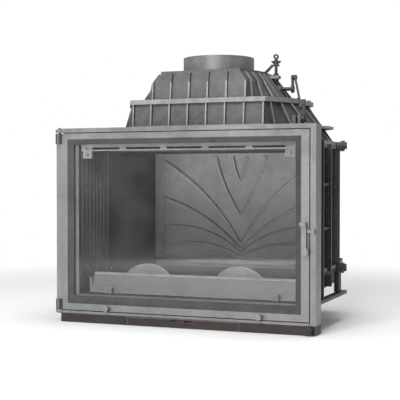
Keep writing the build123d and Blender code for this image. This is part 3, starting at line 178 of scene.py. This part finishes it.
def makeCastIron(name, look, wearAndLight):
    finish = Finish(name)
    cloud = finish.ramp(finish.noise(5.5, 5.0, 0.62, distortion=0.6), (0.34, 0.0), (0.68, 1.0))
    mottle = finish.ramp(finish.noise(46.0, 4.0, 0.6), (0.36, 0.0), (0.66, 1.0))
    drips = finish.ramp(finish.noise(26.0, 3.0, 0.5, (1.0, 1.0, 0.12)), (0.52, 0.0), (0.74, 1.0))
    pits = finish.ramp(finish.noise(170.0, 2.0, 0.5), (0.27, 1.0), (0.33, 0.0))
    grain = finish.noise(look["grain"], 3.0, 0.6)
    if wearAndLight == wornHighlight:
        # worn edges with a painted highlight: a lighter copy of the casting
        colour = finish.tint(mottle * 0.55 + 0.45, look["light"], look["edge"])
    elif wearAndLight == paintedShade:
        # painted shade: a darker copy of the casting for faces where shade falls
        colour = finish.tint(mottle * 0.6 + cloud * 0.3, *look.get("soot", (shadeBlack, look["dark"])))
    else:
        tone = cloud * 0.5 + mottle * 0.34 + grain * 0.22
        colour = finish.tint(tone, look["dark"], look["light"])
        colour = finish.over(drips * 0.30, colour, look["dark"])
    if "rise" in look:
        # painted shade: darker towards the bottom, thinning out upwards between the two given heights
        level = finish.node("ShaderNodeSeparateXYZ", {}, {0: finish.place()}, 2)
        low, high, share = look["rise"]
        lowShade = finish.node("ShaderNodeMapRange", {"interpolation_type": "SMOOTHSTEP"},
                             {"Value": level, "From Min": low, "From Max": high,
                              "To Min": share, "To Max": 0.0})
        colour = finish.over(lowShade * (0.85 + mottle * 0.15), colour, (0.006, 0.006, 0.006))
    speckle = finish.ramp(finish.noise(240.0, 2.0, 0.5), (0.66, 0.0), (0.72, 1.0))
    colour = finish.over(speckle * look["dust"], colour, (0.42, 0.41, 0.40))
    colour = finish.over(pits * look["pits"], colour, (0.008, 0.008, 0.008))
    plain = look["roughness"] + wearAndLightRoughness[wearAndLight] - 0.08
    roughness = cloud * 0.10 + mottle * 0.08 + pits * 0.25 + plain
    height = grain * 0.5 + mottle * 0.35 - pits * 0.9
    normal = finish.bump(height, look["grainDepth"] * 2.4, 0.9)
    shader = finish.node("ShaderNodeBsdfPrincipled", {}, {"Base Color": colour, "Roughness": roughness,
                         "Metallic": look["metallic"], "Normal": normal})
    return finish.close(shader)


# rolled or turned steel, dark with fine drawn lines
steel = {
    "plain": {"dark": (0.030, 0.030, 0.031), "light": (0.115, 0.115, 0.118),
              "metallic": 0.70, "roughness": 0.42, "lines": (0.03, 1.0, 1.0)},
    "bolt": {"dark": (0.120, 0.120, 0.122), "light": (0.400, 0.400, 0.405),
             "metallic": 0.85, "roughness": 0.34, "lines": (1.0, 1.0, 0.2)},
}


def makeSteel(name, look):
    finish = Finish(name)
    drawn = finish.noise(900.0, 2.0, 0.5, look["lines"])
    stain = finish.ramp(finish.noise(38.0, 4.0, 0.6), (0.35, 0.0), (0.70, 1.0))
    spots = finish.ramp(finish.noise(210.0, 2.0, 0.5), (0.64, 0.0), (0.72, 1.0))
    colour = finish.tint(stain * 0.65 + drawn * 0.35, look["dark"], look["light"])
    colour = finish.over(spots * 0.5, colour, (0.045, 0.030, 0.022))
    normal = finish.bump(drawn * 0.6 + spots * 0.4, 0.00012, 0.8)
    shader = finish.node("ShaderNodeBsdfPrincipled", {}, {"Base Color": colour, "Metallic": look["metallic"],
                         "Roughness": stain * 0.14 + spots * 0.2 + look["roughness"], "Normal": normal})
    return finish.close(shader)


# clear ceramic glass with a thin, patchy film of soot
def makeGlass(name):
    finish = Finish(name)
    film = finish.ramp(finish.noise(9.0, 4.0, 0.6), (0.42, 0.0), (0.78, 1.0))
    clear = finish.node("ShaderNodeBsdfTransparent", {}, {"Color": (0.98, 0.985, 0.985, 1.0)})
    gloss = finish.node("ShaderNodeBsdfGlossy", {}, {"Color": (0.9, 0.92, 0.93, 1.0), "Roughness": 0.03})
    fresnel = finish.node("ShaderNodeFresnel", {}, {"IOR": 1.45})
    haze = finish.node("ShaderNodeBsdfDiffuse", {}, {"Color": (0.30, 0.29, 0.28, 1.0)})
    body = finish.node("ShaderNodeMixShader", {}, {0: fresnel * 0.55, 1: clear, 2: gloss})
    return finish.close(finish.node("ShaderNodeMixShader", {}, {0: film * 0.05 + 0.01, 1: body, 2: haze}))


# plaited glass-fibre rope: two sets of strands that cross, read from the rope's own map
def makeRope(name):
    finish = Finish(name)
    around = finish.node("ShaderNodeTexCoord", output="UV")

    def strands(turn):
        laid = finish.node("ShaderNodeMapping", {}, {"Vector": around, "Rotation": (0, 0, turn),
                                                     "Scale": (300.0, 4.0, 1.0)})
        return finish.node("ShaderNodeTexWave", {"wave_type": "BANDS"},
                           {"Vector": laid, "Scale": 1.0, "Distortion": 0.6})

    weave = strands(0.02) * 0.5 + strands(-0.02) * 0.5
    fibres = finish.noise(1400.0, 2.0, 0.6)
    colour = finish.tint(weave * 0.7 + fibres * 0.3, (0.020, 0.020, 0.021), (0.150, 0.148, 0.142))
    normal = finish.bump(weave * 0.8 + fibres * 0.2, 0.0006, 0.9)
    return finish.close(finish.node("ShaderNodeBsdfPrincipled", {}, {"Base Color": colour, "Roughness": 0.9,
                                    "Normal": normal}))


finishes = {}
for look, values in castIron.items():
    finishes[look] = tuple(makeCastIron(look + "Iron" + part, values, wearAndLight)
                           for wearAndLight, part in enumerate(("", "Edge", "Soot")))
for look, values in steel.items():
    made = makeSteel(look + "Steel", values)
    finishes[look] = (made, made, made)
glassFinish = makeGlass("doorGlass")
ropeFinish = makeRope("ropeSeal")
slotLook = {"facade_iron": "facade", "plinth_iron": "plinth", "body_iron": "body", "hood_iron": "hood",
            "collar_iron": "collar", "liner_iron": "liner", "fireback_iron": "fireback", "bar_iron": "bar",
            "plain_steel": "plain", "bolt_steel": "bolt"}
ownLook = {"lower_back": "hearth", "base_casting": "hearth",
           "log_guard": "guard", "log_rests": "guard", "guard_feet": "guard"}
slotOf = {part["node"]: part["material_slot"] for part in frame["record"]["subparts"]}
lookOf = {node: ownLook.get(node, slotLook.get(slot)) for node, slot in slotOf.items()}
bodyOf = {}
for body, members in frame["record"]["behaviour"]["bodies"].items():
    for member in members:
        bodyOf[member] = body
print("finishes made")


# castings with softened arrises; a number is the rounding of their edges in millimetres
softEdges = {
    "facade_frame": 1.3, "door_frame": 1.1, "plinth_left": 0.9, "plinth_right": 0.9, "ash_cover": 0.8,
    "air_slider": 0.4, "air_valve_knob": 0.9, "handle_lever": 1.1, "handle_pivot": 0.6, "latch_keeper": 0.5,
    "door_pegs": 1.0, "hood_lower": 0.9, "hood_upper": 0.9, "flue_collar": 0.9, "side_casting_left": 1.0,
    "side_casting_right": 1.0, "rear_casting": 1.0, "base_casting": 1.0, "side_posts": 0.9,
    "side_rails": 0.6, "rear_legs": 0.9, "post_stays": 0.4, "log_guard": 1.1, "log_rests": 1.2,
    "guard_feet": 0.9, "fireback": 0.8,
    "ribbed_liner_left": 0.9, "ribbed_liner_right": 0.9, "smooth_liner_left": 0.6,
    "smooth_liner_right": 0.6,
    "lower_back": 0.8, "baffle": 0.8, "grate": 0.8, "air_wash_bar": 0.4, "bar_brackets": 0.6,
    "control_bracket": 0.9, "control_lever": 0.7, "damper_crank": 0.6, "wing_nut": 0.6, "spindle": 0.4,
    "spindle_stay": 0.4, "lever_pivot": 0.4, "waist_bolts": 0.5, "body_bolts": 0.5, "collar_screws": 0.5,
    "bar_screws": 0.5, "facade_screws": 0.5, "liner_screws": 0.5, "link_rod": 0.4,
}


def camel(name):
    first, *rest = name.split("_")
    return first + "".join(word.capitalize() for word in rest)


# narrow faces between two arrises, such as rib crests and flange edges, take the lighter edge finish, a
# painted highlight with some wear;
# a number is the widest such face in metres
crestRule = {"shortest": 0.03, "sideShare": 0.6, "sharp": 0.6}
crestHighlights = {"hood_lower": 0.013, "hood_upper": 0.013, "side_casting_right": 0.012, "side_casting_left": 0.012,
          "ribbed_liner_left": 0.011, "ribbed_liner_right": 0.011, "rear_casting": 0.010,
          "air_wash_bar": 0.012}


def isCrest(face, limit):
    longest = max(face.edges, key=lambda edge: edge.calc_length())
    length = longest.calc_length()
    if length < crestRule["shortest"] or face.calc_area() > limit * length:
        return False
    sides = [edge for edge in face.edges if edge.calc_length() > crestRule["sideShare"] * length]
    return len(sides) > 1 and all(edge.is_manifold and edge.is_convex
                                  and edge.calc_face_angle(0.0) > crestRule["sharp"] for edge in sides)


# the fireback's bands get sloping sides, with a painted highlight below and painted shade above
bands = {"slope": 0.0024, "depth": 0.0044, "flat": 0.0002, "facesUp": 0.06}


def slopeBands(shape):
    front = min(vert.co.y for vert in shape.verts)
    tops = [face for face in shape.faces
            if face.normal.y < -0.99 and face.calc_center_median().y < front + bands["flat"]]
    rim = bmesh.ops.inset_region(shape, faces=tops, thickness=bands["slope"], depth=0.0,
                                 use_even_offset=False, use_boundary=True)["faces"]
    inner = {vert for face in tops if face.is_valid for vert in face.verts}
    for vert in {vert for face in rim for vert in face.verts} - inner:
        vert.co.y = front + bands["depth"]
    shape.normal_update()
    # upward-facing band sides take painted shade, downward-facing sides a painted highlight
    for face in rim:
        face.material_index = paintedShade if face.normal.z > bands["facesUp"] else wornHighlight


# the door frame's inner bevel gets painted shade, darker than its face
def shadeBevel(shape):
    for face in shape.faces:
        if -0.98 < face.normal.y < -0.1:
            face.material_index = paintedShade


shapeWork = {"fireback": slopeBands, "door_frame": shadeBevel}  # these keep their triangles
arris = {"angle": math.radians(28), "segments": 2, "merge": 0.000002, "flat": math.radians(0.6)}


def soften(name, width):
    shape = bmesh.new()
    shape.from_mesh(nodes[name].data)
    bmesh.ops.remove_doubles(shape, verts=shape.verts, dist=arris["merge"])
    if name not in shapeWork:
        bmesh.ops.dissolve_limit(shape, angle_limit=arris["flat"], verts=shape.verts, edges=shape.edges,
                                 delimit={"NORMAL"})
    shape.normal_update()
    for face in shape.faces:
        # painted highlight with some wear on narrow crest faces
        if name in crestHighlights and isCrest(face, crestHighlights[name]):
            face.material_index = wornHighlight
    if name in shapeWork:
        shapeWork[name](shape)
    for edge in shape.edges:
        edge.smooth = not edge.is_manifold or edge.calc_face_angle(0.0) < arris["angle"]
    for face in shape.faces:
        face.smooth = True
    mesh = bpy.data.meshes.new(camel(name))
    shape.to_mesh(mesh)
    shape.free()
    for finish in finishes[lookOf[name]]:
        mesh.materials.append(finish)
    piece = bpy.data.objects.new(camel(name) + "Cast", mesh)
    bpy.context.scene.collection.objects.link(piece)
    rounding = piece.modifiers.new("softEdges", "BEVEL")
    rounding.width = width * mm
    rounding.segments = arris["segments"]
    rounding.limit_method = "ANGLE"
    rounding.angle_limit = arris["angle"]
    rounding.use_clamp_overlap = True
    rounding.harden_normals = True
    # bevel faces take the lighter edge finish: worn edges with a painted highlight
    rounding.material = wornHighlight
    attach(piece, bodyOf[name])
    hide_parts(name)


for name, width in softEdges.items():
    soften(name, width)
print("castings softened:", len(softEdges))


# rope seal: a round rope laid in the groove at the back of the door, in millimetres
rope = {"thickness": 9.4, "corner": 16.0, "cornerSteps": 8}


def layRope():
    low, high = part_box("door_seal")
    radius = rope["thickness"] / 2 * mm
    left, right = low.x + radius, high.x - radius
    bottom, top = low.z + radius, high.z - radius
    depth = (low.y + high.y) / 2
    corner = rope["corner"] * mm
    turns = ((right - corner, top - corner, 90), (left + corner, top - corner, 180),
             (left + corner, bottom + corner, 270), (right - corner, bottom + corner, 360))
    path = bpy.data.curves.new("ropePath", "CURVE")
    path.dimensions = "3D"
    line = path.splines.new("POLY")
    places = []
    for x, z, last in turns:
        for step in range(rope["cornerSteps"] + 1):
            angle = math.radians(last - 90 + 90 * step / rope["cornerSteps"])
            places.append((x + corner * math.cos(angle), depth, z + corner * math.sin(angle)))
    line.points.add(len(places) - 1)
    for point, place in zip(line.points, places):
        point.co = (*place, 1.0)
    line.use_cyclic_u = True
    path.bevel_depth = radius
    path.bevel_resolution = 4
    path.use_fill_caps = False
    curve = bpy.data.objects.new("ropeCurve", path)
    bpy.context.scene.collection.objects.link(curve)
    mesh = bpy.data.meshes.new_from_object(curve)
    bpy.data.objects.remove(curve)
    mesh.name = "doorRope"
    mesh.shade_smooth()
    mesh.materials.clear()
    mesh.materials.append(ropeFinish)
    piece = bpy.data.objects.new("doorRope", mesh)
    bpy.context.scene.collection.objects.link(piece)
    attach(piece, "door")
    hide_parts("door_seal")


layRope()
print("rope laid")

# the remaining nodes keep their shape and take a finish
for name, part in nodes.items():
    if part.hide_render:
        continue
    if slotOf[name] == "door_glass":
        finish = glassFinish
    else:
        finish = finishes[lookOf[name]][asCast]
    if not part.material_slots:
        part.data.materials.append(finish)
    for spot in part.material_slots:
        spot.material = finish
print("nodes finished")


# floor, lamps, world
room = {"floor": (0.86, 0.86, 0.86), "size": 12.0, "daylight": 0.50, "fadeFrom": 0.9, "fadeTo": 1.9}


def makeFloor():
    shape = bmesh.new()
    bmesh.ops.create_grid(shape, x_segments=1, y_segments=1, size=room["size"])
    mesh = bpy.data.meshes.new("floor")
    shape.to_mesh(mesh)
    shape.free()
    finish = Finish("paleFloor")
    matt = finish.node("ShaderNodeBsdfDiffuse", {}, {"Color": (*room["floor"], 1.0)})
    white = finish.node("ShaderNodeEmission", {}, {"Color": (1.0, 1.0, 1.0, 1.0), "Strength": 1.0})
    away = finish.node("ShaderNodeVectorMath", {"operation": "LENGTH"}, {0: finish.place()}, "Value")
    fade = finish.node("ShaderNodeMapRange", {"interpolation_type": "SMOOTHSTEP"},
                       {"Value": away, "From Min": room["fadeFrom"], "From Max": room["fadeTo"]})
    seen = finish.node("ShaderNodeLightPath", output="Is Camera Ray")
    mixed = finish.node("ShaderNodeMixShader", {}, {0: fade * seen, 1: matt, 2: white})
    mesh.materials.append(finish.close(mixed))
    floor = bpy.data.objects.new("floor", mesh)
    bpy.context.scene.collection.objects.link(floor)


def makeWorld():
    world = bpy.data.worlds.new("studio")
    bpy.context.scene.world = world
    world.use_nodes = True
    tree = world.node_tree
    tree.nodes.clear()
    output = tree.nodes.new("ShaderNodeOutputWorld")
    soft = tree.nodes.new("ShaderNodeBackground")
    soft.inputs["Color"].default_value = (1.0, 1.0, 1.0, 1.0)
    soft.inputs["Strength"].default_value = room["daylight"]
    white = tree.nodes.new("ShaderNodeBackground")
    white.inputs["Strength"].default_value = 1.0
    white.inputs["Color"].default_value = (1.0, 1.0, 1.0, 1.0)
    seen = tree.nodes.new("ShaderNodeLightPath")
    mix = tree.nodes.new("ShaderNodeMixShader")
    tree.links.new(seen.outputs["Is Camera Ray"], mix.inputs[0])
    tree.links.new(soft.outputs[0], mix.inputs[1])
    tree.links.new(white.outputs[0], mix.inputs[2])
    tree.links.new(mix.outputs[0], output.inputs["Surface"])


lamps = {
    "key": {"place": (0.10, -2.6, 2.0), "aim": (0.05, -0.1, 0.35), "size": 1.3, "watts": 62.0},
    "low": {"place": (-0.55, -2.3, 0.16), "aim": (0.05, 0.2, 0.34), "size": 0.6, "watts": 42.0,
            "mirrored": False},
    "top": {"place": (0.2, 0.3, 2.6), "aim": (0.0, 0.0, 0.4), "size": 1.4, "watts": 26.0},
}


def makeLamp(name, values):
    lamp = bpy.data.lights.new(name, "AREA")
    lamp.shape = "SQUARE"
    lamp.size = values["size"]
    lamp.energy = values["watts"]
    holder = bpy.data.objects.new(name, lamp)
    holder.location = values["place"]
    aim = Vector(values["aim"]) - Vector(values["place"])
    holder.rotation_euler = aim.to_track_quat("-Z", "Y").to_euler()
    holder.visible_glossy = values.get("mirrored", True)
    bpy.context.scene.collection.objects.link(holder)


makeFloor()
makeWorld()
for name, values in lamps.items():
    makeLamp(name, values)

viewer = {"place": (0.97075, -2.5174, 0.3708), "turn": 21.85, "dip": 1.15, "lens": 89.78}
camera = bpy.data.cameras.new("viewer")
camera.lens = viewer["lens"]
camera.sensor_width = 36.0
camera.clip_start = 0.05
holder = bpy.data.objects.new("viewer", camera)
holder.location = viewer["place"]
holder.rotation_euler = (math.radians(90 - viewer["dip"]), 0.0, math.radians(viewer["turn"]))
bpy.context.scene.collection.objects.link(holder)
bpy.context.scene.camera = holder
bpy.context.scene.view_settings.view_transform = "Standard"
print("stage set")
